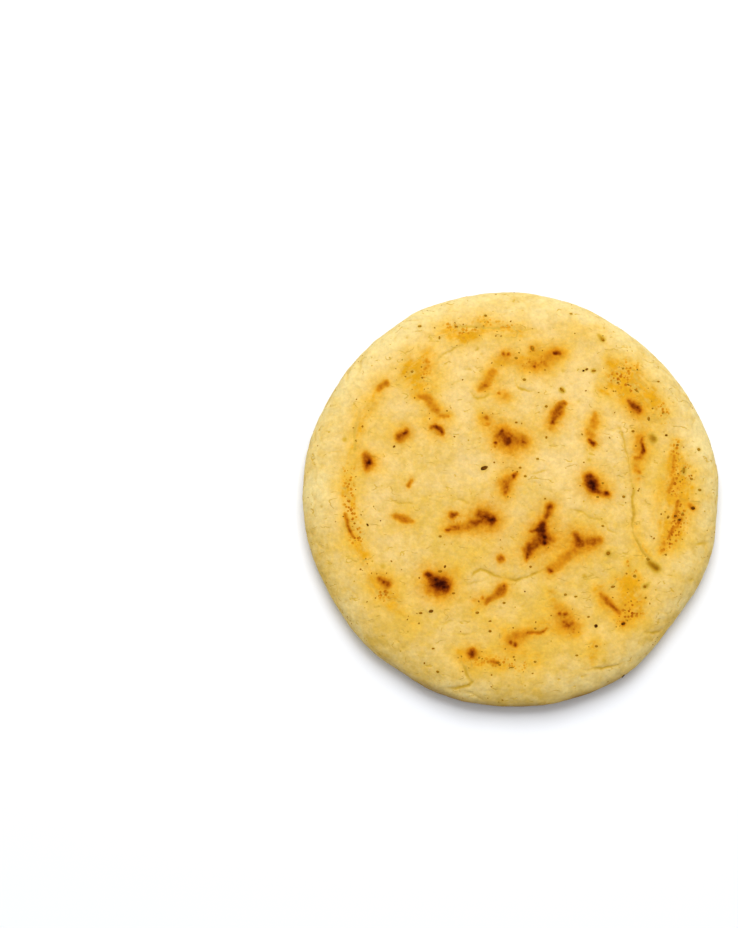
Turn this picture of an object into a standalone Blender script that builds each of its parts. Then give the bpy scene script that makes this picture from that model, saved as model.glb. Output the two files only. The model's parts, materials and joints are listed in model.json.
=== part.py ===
"""A griddled arepa: a round, hand-patted cake of maize dough, one solid.

It rests on its flat underside at z = 0, with the middle of its base at the origin. +X is to the right
and +Y to the back of a person who looks at the toasted face. Metres, +Z up.
"""

import math

import bmesh
import bpy
from mathutils import Vector, noise

# Driving dimensions, in metres
WIDTH = 0.1100  # across the cake from left to right, at its waist
LENGTH = 0.1120  # from front to back: patting leaves it a little longer than wide
THICKNESS = 0.0118  # at the crown, before the swells in the face are added
CROWN_DROP = 0.0006  # how far the face falls from the crown to the shoulder
SHOULDER_SHARE = 0.83  # of the waist's radius, where the face turns down into the rim
WAIST_HEIGHT = 0.0046  # the rim is widest here, below half height, as soft dough slumps
FOOT_SHARE = 0.935  # of the waist's radius, where the tucked rim meets the surface below

# Unevenness left by the hands, in metres unless named otherwise
FACE_SWELL = 0.00045  # height of the broad swells in the face
FACE_SWELL_SPAN = 0.017  # size of one swell
FACE_SWELL_DRAW = Vector((3.1, 7.4, 0.0))  # picks where the swells fall
RIM_LUMP = 0.00035  # how far the rim wanders in and out
RIM_LUMP_SPAN = 0.011
# Where the outline leaves the oval: (direction in degrees from +X, outwards, half-width in degrees)
OUTLINE_BENDS = (
    (50, -0.0009, 24),
    (6, 0.0006, 4),
    (-4, -0.0004, 7),
    (-38, -0.0013, 12),
    (-59, 0.0003, 9),
    (-121, -0.0003, 9),
    (-150, -0.0006, 14),
    (116, 0.0003, 18),
    (172, 0.0004, 20),
)
# Shallow hollows and low humps pressed into the face: (x, y, radius, height)
PRESS_MARKS = (
    (0.034, 0.004, 0.012, -0.0005),
    (-0.012, 0.030, 0.014, 0.0004),
    (0.010, -0.034, 0.013, -0.0004),
    (-0.030, -0.012, 0.015, 0.0003),
    (0.006, 0.004, 0.018, 0.0003),
    (0.030, 0.030, 0.010, 0.0003),
)
# The fold where the dough was closed: one side of it stands a little higher
FOLD_X = 0.0300  # how far right of the middle it runs
FOLD_STEP = 0.0004
FOLD_SOFTNESS = 0.0030  # the width over which the step rises
FOLD_HALF_LENGTH = 0.024

# How finely the solid is cut
SEGMENTS = 96  # round the cake
FACE_RINGS = 20  # from the crown to the shoulder
UPPER_RIM_STEPS = 7
LOWER_RIM_STEPS = 4
MERGE_DISTANCE = 1e-6

DOUGH_COLOUR = (0.86, 0.62, 0.20, 1.0)
DOUGH_ROUGHNESS = 0.62


def clear_scene():
    for existing in list(bpy.data.objects):
        bpy.data.objects.remove(existing, do_unlink=True)


def smooth_step(value):
    """0 below 0, 1 above 1, and a soft S between."""
    share = min(max(value, 0.0), 1.0)
    return share * share * (3.0 - 2.0 * share)


def cross_section():
    """Half of the round cake's section as (radius, height), from the crown out and down to the foot."""
    radius = WIDTH / 2
    shoulder = radius * SHOULDER_SHARE
    shoulder_height = THICKNESS - CROWN_DROP
    foot = radius * FOOT_SHARE
    points = []
    for ring in range(FACE_RINGS):
        share = ring / FACE_RINGS
        points.append((shoulder * share, THICKNESS - CROWN_DROP * share**2))
    for step in range(UPPER_RIM_STEPS + 1):
        turn = math.pi / 2 * step / UPPER_RIM_STEPS
        points.append(
            (
                shoulder + (radius - shoulder) * math.sin(turn),
                WAIST_HEIGHT + (shoulder_height - WAIST_HEIGHT) * math.cos(turn),
            )
        )
    for step in range(1, LOWER_RIM_STEPS + 1):
        turn = math.pi / 2 * step / LOWER_RIM_STEPS
        points.append(
            (foot + (radius - foot) * math.cos(turn), WAIST_HEIGHT * (1 - math.sin(turn)))
        )
    return points


def outline_shift(direction):
    """How far the outline stands out from the oval in this direction, in radians from +X."""
    shift = 0.0
    for bend, outwards, half_width in OUTLINE_BENDS:
        apart = math.degrees(direction) - bend
        apart = (apart + 180.0) % 360.0 - 180.0
        shift += outwards * math.exp(-((apart / half_width) ** 2))
    return shift


def face_relief(x, y):
    """Height of the swells, the press marks and the fold at a place on the face."""
    place = Vector((x, y, 0.0)) / FACE_SWELL_SPAN
    height = FACE_SWELL * noise.noise(place + FACE_SWELL_DRAW)
    for mark_x, mark_y, size, lift in PRESS_MARKS:
        distance = math.hypot(x - mark_x, y - mark_y) / size
        height += lift * math.exp(-(distance**2))
    along = smooth_step((FOLD_HALF_LENGTH - abs(y)) / (FOLD_HALF_LENGTH / 2))
    across = smooth_step((x - FOLD_X) / FOLD_SOFTNESS + 0.5)
    return height - FOLD_STEP * along * across


def shape_by_hand(point):
    """Moves a point of the evenly turned cake to where it lies on the uneven, patted one."""
    radius = math.hypot(point.x, point.y)
    direction = math.atan2(point.y, point.x)
    outer = radius / (WIDTH / 2)
    lengthened_y = point.y * LENGTH / WIDTH
    if radius > 0.0:
        around = Vector((math.cos(direction), math.sin(direction), 0.0))
        lump = RIM_LUMP * noise.noise(
            around * (WIDTH / 2 / RIM_LUMP_SPAN) + Vector((0.0, 0.0, point.z / RIM_LUMP_SPAN))
        )
        push = (outline_shift(direction) + lump) * outer**2
        x = point.x + around.x * push
        y = lengthened_y + around.y * push
    else:
        x, y = point.x, lengthened_y
    # The relief is full on the face and dies away down the rim, so the base stays flat.
    share_up = smooth_step((point.z - WAIST_HEIGHT) / (THICKNESS - CROWN_DROP - WAIST_HEIGHT))
    return Vector((x, y, point.z + face_relief(x, y) * share_up))


def dough_material():
    material = bpy.data.materials.new("griddled_dough")
    material.use_nodes = True
    surface = material.node_tree.nodes["Principled BSDF"]
    surface.inputs["Base Color"].default_value = DOUGH_COLOUR
    surface.inputs["Roughness"].default_value = DOUGH_ROUGHNESS
    surface.inputs["Metallic"].default_value = 0.0
    return material


def make_cake():
    """Turns the half section about Z, closes the base and pats the cake out of true."""
    shape = bmesh.new()
    section = [shape.verts.new((radius, 0.0, height)) for radius, height in cross_section()]
    for upper, lower in zip(section, section[1:]):
        shape.edges.new((upper, lower))
    bmesh.ops.spin(
        shape,
        geom=shape.verts[:] + shape.edges[:],
        cent=(0.0, 0.0, 0.0),
        axis=(0.0, 0.0, 1.0),
        angle=2 * math.pi,
        steps=SEGMENTS,
        use_merge=True,
    )
    bmesh.ops.remove_doubles(shape, verts=shape.verts[:], dist=MERGE_DISTANCE)
    bmesh.ops.holes_fill(shape, edges=[edge for edge in shape.edges if edge.is_boundary], sides=0)
    for vertex in shape.verts:
        vertex.co = shape_by_hand(vertex.co)
    bmesh.ops.recalc_face_normals(shape, faces=shape.faces[:])
    mesh = bpy.data.meshes.new("arepa")
    shape.to_mesh(mesh)
    shape.free()
    mesh.shade_smooth()
    mesh.materials.append(dough_material())
    cake = bpy.data.objects.new("arepa", mesh)
    bpy.context.scene.collection.objects.link(cake)
    return cake


def settle_on_middle(cake):
    """Slides the shape sideways so that the origin is under the middle of its outline."""
    xs = [vertex.co.x for vertex in cake.data.vertices]
    ys = [vertex.co.y for vertex in cake.data.vertices]
    middle = Vector(((min(xs) + max(xs)) / 2, (min(ys) + max(ys)) / 2, 0.0))
    for vertex in cake.data.vertices:
        vertex.co -= middle


def main():
    clear_scene()
    settle_on_middle(make_cake())


main()
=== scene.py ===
"""The looks of a griddled maize arepa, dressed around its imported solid.

The skin is the solid's own shape cut finer, with the creases, wrinkles and blisters of hand-patted dough
pressed into it. What the griddle did is painted on the skin in fields (gold, scorch, smudge and so on),
and the dough's material turns the fields into colour. Burnt crumbs and flecks of bran lie on it as meshes.
"""

import json
import math
import random

import bpy
import numpy as np
from mathutils import Matrix, Vector, noise
from mathutils.bvhtree import BVHTree

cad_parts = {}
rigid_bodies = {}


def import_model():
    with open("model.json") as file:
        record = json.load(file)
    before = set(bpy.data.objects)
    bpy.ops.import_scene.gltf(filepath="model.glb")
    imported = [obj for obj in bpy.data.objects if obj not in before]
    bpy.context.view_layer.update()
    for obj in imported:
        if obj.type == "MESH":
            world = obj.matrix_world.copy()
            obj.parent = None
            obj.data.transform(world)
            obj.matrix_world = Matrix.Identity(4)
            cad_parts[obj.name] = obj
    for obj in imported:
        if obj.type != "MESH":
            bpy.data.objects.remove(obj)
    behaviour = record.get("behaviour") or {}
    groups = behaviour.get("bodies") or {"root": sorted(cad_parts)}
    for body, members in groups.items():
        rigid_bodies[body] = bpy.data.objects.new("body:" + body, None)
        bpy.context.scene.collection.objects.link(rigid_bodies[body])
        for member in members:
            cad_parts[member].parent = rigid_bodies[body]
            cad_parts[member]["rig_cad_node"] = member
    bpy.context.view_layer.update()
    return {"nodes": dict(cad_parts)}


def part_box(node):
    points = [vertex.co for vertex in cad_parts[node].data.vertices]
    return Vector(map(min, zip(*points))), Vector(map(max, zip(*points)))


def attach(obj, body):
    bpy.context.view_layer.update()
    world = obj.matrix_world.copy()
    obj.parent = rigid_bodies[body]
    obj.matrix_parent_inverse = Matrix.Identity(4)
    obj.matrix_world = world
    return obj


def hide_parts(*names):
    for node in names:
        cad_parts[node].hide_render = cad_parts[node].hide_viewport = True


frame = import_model()

MM = 0.001
LOW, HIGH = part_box("arepa")
HALF_WIDTH = (HIGH.x - LOW.x) / 2
HALF_LENGTH = (HIGH.y - LOW.y) / 2
THICKNESS = HIGH.z - LOW.z

# ---------------------------------------------------------------- what the griddle and the hands left
# Places on the face are in millimetres from the middle of the cake: x to the right, y to the back.
# A stroke is a line of brush dabs (x, y, radius, strength), and a mark may be a single dab.

# Heat, where the griddle touched: 0.2 is golden, 0.4 orange, 0.6 rust, 0.75 brown and 1 black.
SCORCHES = (
    # back left: the brown arc, the slanting blot above it, the orange streak
    ((-21.2, 17.2, 0.45, 0.6), (-20.2, 17.2, 0.5, 0.74), (-19, 16.5, 0.6, 0.78), (-18.2, 15.6, 0.5, 0.66)),
    ((-19.4, 15.6, 0.8, 0.34),),
    ((-24.2, 25.4, 0.7, 0.44), (-22.4, 25.2, 0.9, 0.48), (-21, 23, 1, 0.42), (-19.8, 21.8, 0.8, 0.48)),
    ((-18.8, 20.2, 0.6, 0.4), (-16.8, 20, 0.4, 0.42)),
    ((-4.8, 32.2, 0.8, 0.42), (-5.5, 30.4, 0.9, 0.4), (-6.6, 28.8, 0.8, 0.46), (-8.1, 27.4, 0.7, 0.38)),
    ((-6.8, 28.5, 0.45, 0.66),), ((-22.2, 35.4, 0.5, 0.42),), ((-21.9, 33.8, 0.5, 0.42),),
    ((-22.8, 32.8, 0.5, 0.36),),
    # back middle: the long orange smear with its spots
    ((-2.6, 36, 1.4, 0.2), (1, 35.4, 1.6, 0.2), (4, 34.2, 1.6, 0.26), (6.6, 34.2, 1.4, 0.34)),
    ((6.6, 34.2, 1.4, 0.3), (9, 35.4, 1.5, 0.32), (11.6, 37.2, 1.3, 0.42), (14.6, 37.6, 0.9, 0.24)),
    ((-1.7, 37, 0.42, 0.64),), ((-0.6, 37, 0.4, 0.6),), ((6.25, 33.8, 0.45, 0.64),), ((9, 34.4, 0.5, 0.5),),
    ((11.9, 37.5, 0.55, 0.82), (12.9, 37.4, 0.45, 0.7)),
    ((5.8, 38.6, 0.45, 0.72),),
    ((-1.6, 25.6, 1.2, 0.3), (-3, 24.6, 1.2, 0.18)),
    ((-3.1, 26.3, 0.35, 0.5),), ((-7.4, 18.8, 1.2, 0.22),), ((-6.6, 19.5, 0.5, 0.56),),
    ((-6.5, 17.9, 0.45, 0.52),),
    # middle: the broad rust blotch with its dark spots
    ((-2.2, 14.8, 1.7, 0.63), (-0.9, 13.6, 1.8, 0.65)),
    ((1, 13.6, 1.4, 0.5), (2.8, 13.3, 1.4, 0.52)),
    ((-2.6, 16, 0.5, 0.76),), ((-4.2, 12.8, 0.5, 0.78),), ((-1, 13.4, 0.85, 0.78),),
    ((3, 13.2, 0.5, 0.64),), ((0.4, 11, 1.4, 0.26),),
    # right of it: the tall rust mark, and the pair of small ones
    ((13.9, 23.6, 0.6, 0.56), (12.6, 22.4, 0.9, 0.64), (12, 21, 1.15, 0.66), (11.1, 19.4, 0.85, 0.6)),
    ((10.7, 18.4, 0.6, 0.82),), ((10.1, 16.9, 0.7, 0.34),),
    ((22.2, 20.3, 0.8, 0.38), (21.9, 18.6, 0.95, 0.46), (21.7, 17.4, 0.8, 0.36)),
    ((20.2, 15.7, 0.8, 0.4), (21.2, 14.8, 0.8, 0.36)),
    ((20.5, 13.8, 0.45, 0.66), (21.5, 12.6, 0.5, 0.8)),
    # back right: the brown oval under the golden patch, and the crescent in front of it
    ((31, 24.2, 0.6, 0.6), (32, 23.3, 0.95, 0.74), (33.6, 21.9, 0.9, 0.76)),
    ((32.6, 20.6, 1.2, 0.2),),
    ((34.3, 14.2, 0.45, 0.56), (34.5, 12.7, 0.5, 0.66), (34.6, 11.2, 0.5, 0.78), (34, 9.8, 0.45, 0.5)),
    ((33.6, 13.2, 1, 0.3), (33.6, 11.2, 1, 0.3)),
    ((33.9, 9.2, 0.4, 0.5), (32.7, 8.8, 0.4, 0.5)),
    ((32.6, 7, 0.6, 0.34), (32.8, 5.6, 0.6, 0.42), (33.6, 5.1, 0.4, 0.44)),
    ((33.2, 3.2, 0.5, 0.32),), ((33.6, 14.6, 0.9, 0.34),),
    # the burnt oval with its tail
    ((20.1, 3.5, 1.1, 0.86), (20.7, 2.3, 1.3, 0.97), (21.3, 1, 1.15, 0.95)),
    ((22.2, -0.1, 0.8, 0.66), (23.6, -0.7, 0.6, 0.6), (24.8, -0.8, 0.6, 0.84)),
    ((24, 1.6, 0.9, 0.26),),
    # the small mark in the middle
    ((0.4, 3.9, 0.6, 0.78), (1.1, 4.5, 0.4, 0.56)),
    ((-1, 3, 1, 0.48), (-1.9, 1.8, 1.2, 0.52), (-1.8, 0.4, 0.95, 0.52)),
    ((-1.6, 1, 0.4, 0.6),), ((-2.2, 2.4, 0.4, 0.54),), ((-1.8, -0.5, 0.5, 0.7),),
    # left middle: the brown blotch with its long tail
    ((-8.6, -6.3, 1.1, 0.66), (-7, -7, 1.4, 0.74), (-5.7, -7.8, 1.15, 0.8)),
    ((-5.1, -7.7, 0.75, 0.95),),
    ((-8.2, -8.2, 1, 0.66), (-10.6, -8.7, 0.9, 0.6)),
    ((-10.6, -8.8, 0.8, 0.5), (-12.6, -9.6, 0.9, 0.44), (-15.4, -9.9, 1, 0.42)),
    ((-14, -9.5, 0.4, 0.56), (-15.8, -9.6, 0.4, 0.6)),
    ((-14.2, -10.2, 0.35, 0.5), (-16, -10.3, 0.4, 0.6), (-17.4, -10.5, 0.45, 0.66)),
    ((-9, -9.8, 1.8, 0.22), (-5, -10, 1.6, 0.2)),
    ((-8, -4.8, 1.6, 0.2),),
    ((-16, -6.5, 0.6, 0.7), (-15, -6.2, 0.5, 0.56)),
    # the long charred mark with its arms
    ((9.8, -4.2, 0.85, 0.7), (9.2, -6.2, 0.8, 0.62), (8.4, -7.6, 0.7, 0.56)),
    ((7.9, -8.6, 0.8, 0.82), (7.6, -10.4, 1.25, 0.88), (7.8, -12.2, 1.5, 0.78), (8.2, -13.4, 1, 0.78)),
    ((8.5, -12.4, 0.5, 0.96),), ((8.2, -13.9, 0.45, 0.9),),
    ((6.4, -13.2, 1.3, 0.68), (5, -14.6, 1.2, 0.64), (3.9, -16.2, 1, 0.66)),
    ((3.7, -17, 0.5, 0.78), (3.4, -18.2, 0.5, 0.5)),
    ((4.6, -10.6, 0.3, 0.6), (5.4, -10.7, 0.4, 0.66), (6.4, -10.3, 0.5, 0.7)),
    ((9.8, -12.8, 0.8, 0.54),),
    ((8.6, -8.6, 2.4, 0.14), (6.4, -15, 2, 0.12)),
    # the three-armed mark beside it
    ((16.5, -11.8, 1, 0.6), (17.1, -13.4, 1.3, 0.7), (17.6, -14.4, 1, 0.62)),
    ((18.6, -13.6, 1, 0.56), (20.8, -13.6, 0.95, 0.62), (22.8, -13, 0.7, 0.52)),
    ((15.6, -16, 1, 0.44), (13.6, -17.8, 1.1, 0.42), (11.4, -19.8, 1.1, 0.36), (9.8, -21, 0.9, 0.42)),
    ((9.7, -21.2, 0.6, 0.68),),
    ((17.2, -14.2, 1.7, 0.44), (19.8, -13.9, 1.5, 0.4)),
    ((-3.3, -17.9, 0.8, 0.66),),
    # front left: the black spot, and the slanting orange mark
    ((-19.6, -24.6, 1.65, 0.97), (-18.4, -25.1, 1.65, 1)),
    ((-22, -22.3, 0.9, 0.76), (-20.8, -23.6, 1, 0.84)),
    ((-19.6, -26.8, 1, 0.56), (-21.4, -25.8, 1.3, 0.54)),
    ((-2.7, -25.8, 0.9, 0.6), (-3.4, -26.6, 0.9, 0.63), (-5.2, -28.2, 0.7, 0.46), (-6.9, -29.1, 0.7, 0.55)),
    ((-2.7, -25.2, 0.35, 0.64),), ((-8.3, -28.4, 0.4, 0.54),), ((-10.6, -28.8, 0.6, 0.3),),
    # front middle
    ((-1, -39, 1.1, 0.4), (0.4, -38.6, 1.3, 0.42), (2.6, -37.8, 1.1, 0.4)),
    ((-1, -39.9, 0.5, 0.72),), ((0.1, -40.5, 0.55, 0.76),),
    ((3.5, -37.3, 0.4, 0.6), (6.6, -37.4, 0.3, 0.52), (7.6, -37.2, 0.3, 0.58), (8.8, -36.1, 0.25, 0.46)),
    ((-11, -42.9, 0.95, 0.84),),
    ((-6, -44.8, 0.35, 0.56), (-4.4, -45.1, 0.4, 0.62)),
    ((13.8, -35, 1.6, 0.4), (15.2, -36, 1.4, 0.34)),
    ((12.8, -34.6, 0.6, 0.54),), ((13.9, -35.5, 0.9, 0.6),), ((15.2, -35, 0.55, 0.56),),
    ((11.2, -30.4, 0.7, 0.32),), ((12, -32.5, 0.45, 0.72),), ((13.4, -32.5, 0.45, 0.72),),
    # front right
    ((22.8, -27.2, 0.7, 0.44), (24.4, -29, 0.8, 0.58), (25.8, -30.5, 0.6, 0.64), (27.5, -32.4, 0.5, 0.48)),
    ((23.6, -29.4, 1.2, 0.24),), ((30.6, -31, 1.6, 0.2),), ((28.4, -35, 0.5, 0.6),),
    # right: the toasted line along the rim
    ((42.7, 9.8, 0.3, 0.44), (42.6, 7.6, 0.35, 0.46), (42.2, 5, 0.35, 0.44)),
    ((42.4, 3.4, 0.4, 0.4), (41.8, 1.8, 0.5, 0.44), (41, 0.4, 0.4, 0.44)),
    ((43.4, 1, 0.8, 0.3),),
    ((43.4, -2.6, 0.45, 0.54), (43, -4.6, 0.45, 0.46), (42.6, -6.4, 0.5, 0.56)),
    ((43.8, -7.2, 0.45, 0.56), (43, -9.2, 0.45, 0.48), (41.8, -10.4, 0.45, 0.54), (40.7, -12.2, 0.4, 0.54)),
    ((39.8, -14, 0.45, 0.5),), ((39, -15.8, 0.4, 0.42),),
    ((46.2, -3.2, 0.6, 0.3), (47.3, -4.3, 0.5, 0.62)),
    # the left side, marked like the rest
    ((-38.5, 9.6, 0.8, 0.6), (-37.6, 7.8, 1.1, 0.74), (-37.9, 6, 0.7, 0.6)),
    ((-37.4, 7.6, 0.5, 0.9),),
    ((-30.6, -6.6, 0.7, 0.46), (-28.4, -7.6, 0.9, 0.54), (-26.4, -8.2, 0.6, 0.42)),
    ((-43.6, -6, 0.4, 0.5), (-43, -9.4, 0.4, 0.56), (-41.6, -12.2, 0.4, 0.5)),
    ((-29.6, 14.6, 1, 0.6), (-27.9, 15.6, 0.8, 0.72)),
    ((-28.2, 15.4, 0.45, 0.88),),
    ((-35, 27.6, 0.7, 0.46), (-33.2, 29.2, 0.8, 0.5)),
    ((-34.8, -23.4, 0.7, 0.6), (-33, -24.6, 0.9, 0.66)),
    ((-33.8, -24.2, 0.45, 0.86),),
    ((-27.2, 1.4, 0.5, 0.52), (-26.6, 2.8, 0.4, 0.44)),
)

# Golden toasting: broad and soft, deepest along the ring where the face starts to fall away.
GILDING = (
    # back left, along the ring
    ((-18.5, 43, 1.8, 0.7), (-15.4, 43.4, 2.3, 0.95), (-12.8, 42.8, 2.3, 1), (-10.4, 42.4, 1.6, 0.8)),
    ((-10.4, 44.4, 1.2, 0.6), (-7, 45.4, 2.4, 0.8), (-2, 44.4, 1.8, 0.75), (2, 43.6, 1.6, 0.6)),
    ((2, 43, 1.6, 0.55), (5, 42.6, 1.6, 0.45)),
    ((17, 43.2, 1.4, 0.3), (23.6, 43, 1.7, 0.55)),
    ((-21, 38.6, 1.8, 0.6), (-22.4, 35.4, 2.2, 0.85), (-23.6, 31.4, 2.4, 0.9), (-24, 28.2, 2.2, 0.85)),
    ((-27.4, 36, 2.2, 0.6), (-27.6, 32, 2.6, 0.8), (-25.6, 28, 2.2, 0.6)),
    ((-19, 34, 2, 0.35), (-20, 29, 2, 0.4)),
    ((-23.6, 25.2, 1.8, 0.8), (-21, 22.8, 1.9, 0.8), (-18, 20, 1.8, 0.75)),
    ((-22.6, 19.4, 2, 0.5), (-20, 15.6, 2, 0.5)),
    ((-5.4, 31.2, 1.9, 0.8), (-7.6, 27.6, 1.8, 0.7)),
    # back middle
    ((-3, 35.4, 1.9, 0.85), (1, 35.8, 1.9, 0.85), (5.6, 35.6, 2.2, 1), (10, 36, 2.2, 1)),
    ((4.4, 33, 1.4, 0.7), (8.6, 33.2, 1.4, 0.6)),
    ((10, 36, 2.2, 1), (14.4, 37.6, 1.6, 0.85)),
    ((-1.8, 25.4, 1.7, 0.95),), ((-7.4, 18.8, 1.6, 0.8),),
    ((-3.2, 15, 1.8, 0.7), (0, 13.2, 2.6, 0.85), (3, 12.2, 1.8, 0.7)),
    ((0.2, 8.2, 2.2, 0.4),),
    ((13.4, 22, 1.8, 0.75), (10.4, 17.4, 1.5, 0.65)),
    ((22.2, 19.4, 1.4, 0.8), (20.6, 14.4, 1.5, 0.7), (21, 12.6, 1.2, 0.5)),
    # back right: the broad golden patch
    ((26.2, 35.6, 1.4, 0.7), (28, 33, 2, 0.9), (31.6, 31.6, 2.2, 0.9), (33.4, 29, 2, 0.9)),
    ((24.6, 27, 1.3, 0.95), (27.4, 27.4, 2, 1), (31, 27.2, 2.2, 1), (34.6, 25.8, 2.2, 1)),
    ((26.6, 30.6, 1.6, 0.85), (29.6, 30, 1.6, 0.85)),
    ((27, 34.4, 1.2, 0.6), (31.6, 34.6, 1.2, 0.6), (34.2, 32.6, 1.2, 0.5)),
    ((29.6, 29.6, 1.8, 0.9), (36.4, 26.6, 1.6, 0.9), (37, 23.4, 1.6, 0.85)),
    ((31, 23.2, 1.8, 0.8), (34.2, 21, 2, 0.8), (36.4, 19.4, 1.5, 0.8)),
    ((40.4, 24.8, 1.2, 0.4), (40.6, 21, 1.3, 0.7), (39.8, 18, 1.2, 0.4)),
    # right: beside the seam, and the golden line along the rim
    ((34, 15, 1.6, 0.8), (34.6, 12, 1.8, 0.9), (34, 9.6, 1.4, 0.8), (33, 6.4, 1.2, 0.7)),
    ((35.8, 14.6, 1.5, 0.9),),
    ((33, 6.4, 1.2, 0.7), (32.4, 1, 1.1, 0.5), (32.2, -4, 1.1, 0.5), (31.9, -9, 1.2, 0.6)),
    ((31.9, -9, 1.1, 0.65), (32.6, -13, 1.2, 0.75), (34.4, -17.2, 1.4, 0.85), (36.8, -19.8, 1.4, 0.8)),
    ((42.6, 13.4, 1.4, 0.7), (43, 9, 2.1, 0.95), (43.4, 5, 2.4, 0.95), (42.8, 1, 2.6, 1)),
    ((42.8, 1, 2.6, 1), (43, -3.6, 2.7, 1), (43.2, -7.4, 2.3, 1), (41.6, -11.4, 1.9, 1)),
    ((41.6, -11.4, 1.9, 1), (39.8, -15.6, 1.5, 0.9)),
    ((45.2, 5.6, 1.6, 0.7), (46.4, -2.8, 1.6, 0.8), (45.8, -7, 1.2, 0.5)),
    ((40, -5.4, 1.2, 0.7), (40.2, -9.4, 1.1, 0.7)),
    ((37.6, 0, 0.9, 0.35), (37.2, -8, 0.9, 0.35)),
    # front right: a ring of gold with a pale middle
    ((30, -18.4, 0.9, 0.5), (30.2, -21.4, 1.4, 0.8), (29.8, -24.6, 1.9, 0.95), (30.6, -28.4, 2.1, 1)),
    ((30.6, -28.4, 2.1, 1), (31, -32.4, 1.9, 1), (28.6, -35.2, 1.6, 0.95)),
    ((33, -23.6, 1.4, 0.5), (34.4, -28, 1.4, 0.5), (33.4, -33, 1.2, 0.4)),
    ((21.6, -26.2, 1.3, 0.85), (23.8, -28.6, 1.4, 0.95), (26.2, -31.4, 1.6, 1), (29, -33.4, 1.5, 1)),
    ((22, -26, 1.1, 0.7), (25, -25.2, 0.9, 0.6), (28, -23.8, 1.1, 0.6)),
    # front middle
    ((9.6, -27.6, 1.3, 0.75), (11, -30, 1.5, 0.85), (12.6, -32.4, 1.7, 0.85), (14, -35, 2.4, 1)),
    ((16.6, -37, 1.4, 0.9), (12.4, -36.6, 1.4, 0.9), (8.8, -35.8, 1.4, 0.7), (5.4, -36.6, 1.2, 0.6)),
    ((9, -32.6, 2.6, 0.55), (5, -33.6, 1.8, 0.4)),
    ((-1.4, -39, 1.7, 0.9), (1.4, -38.2, 1.9, 0.95), (4.8, -37.6, 1.2, 0.7)),
    ((-6.4, -35.6, 1.6, 0.55), (-3, -36, 1.4, 0.4)),
    ((-10, -32.4, 1.3, 0.75), (-8.6, -30.2, 1.5, 0.7), (-6, -28.8, 1.5, 0.7), (-3.2, -26.6, 1.4, 0.7)),
    ((-14.2, -42.6, 1.2, 0.8), (-11, -42.8, 1.8, 0.95), (-7.6, -43.4, 1.5, 0.85), (-4.6, -44.6, 1.3, 0.85)),
    ((-13.6, -45.4, 1.6, 0.65), (-9, -45.6, 1.6, 0.6), (-2, -46, 1.6, 0.65), (5, -45.4, 1.8, 0.65)),
    ((-4, -41.4, 1.6, 0.65), (2, -42.2, 1.8, 0.6), (6.6, -43.2, 1.5, 0.5)),
    ((20.8, -40.6, 1.4, 0.9), (20.4, -43, 1.7, 0.95)),
    ((14.4, -24.6, 0.9, 0.55),),
    # round the marks of the middle
    ((-14.8, -20.6, 1.4, 0.7), (-16.4, -23.6, 1.6, 0.7), (-18.4, -28.6, 1.8, 0.6)),
    ((-17.6, -10.2, 1.2, 0.7), (-12.6, -9.6, 1.3, 0.7), (-9, -9, 1.9, 0.8), (-4.6, -8.2, 1.8, 0.75)),
    ((-9.4, -17.6, 1.3, 0.5),),
    ((0.2, 4.6, 1.2, 0.6), (-1.6, 1.6, 1.7, 0.8), (-2.2, -0.4, 1.2, 0.7)),
    ((-1.4, -2.6, 1.4, 0.35),),
    ((9.6, -5, 1.6, 0.7), (8.6, -10.6, 2.1, 0.75), (5.2, -15, 1.9, 0.7)),
    ((16.8, -12.8, 1.9, 0.8), (21.6, -13.4, 1.6, 0.75)),
    ((16.4, -15.6, 1.5, 0.7), (13, -18.2, 1.5, 0.7), (9.8, -21, 1.3, 0.7)),
    ((24.4, -16.4, 1.2, 0.6),),
    ((20.8, 2.6, 2.3, 0.7), (23.6, -0.4, 1.8, 0.7)),
    # the left side
    ((-35, 27.6, 2.2, 0.7), (-39.6, 19, 2, 0.75), (-42.2, 9, 1.8, 0.75), (-43, 0, 1.8, 0.7)),
    ((-43, 0, 1.8, 0.7), (-42, -10, 2, 0.85), (-38.4, -19, 2, 0.75), (-32.6, -28, 2.2, 0.65)),
    ((-32.6, -28, 2.2, 0.65), (-26.4, -34.6, 2, 0.45)),
    ((-37.6, 7.6, 2.2, 0.7),), ((-28.8, 15, 2.2, 0.7),), ((-28.8, -7.4, 2, 0.6),),
    ((-33.8, -24, 2.2, 0.75),),
)

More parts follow.
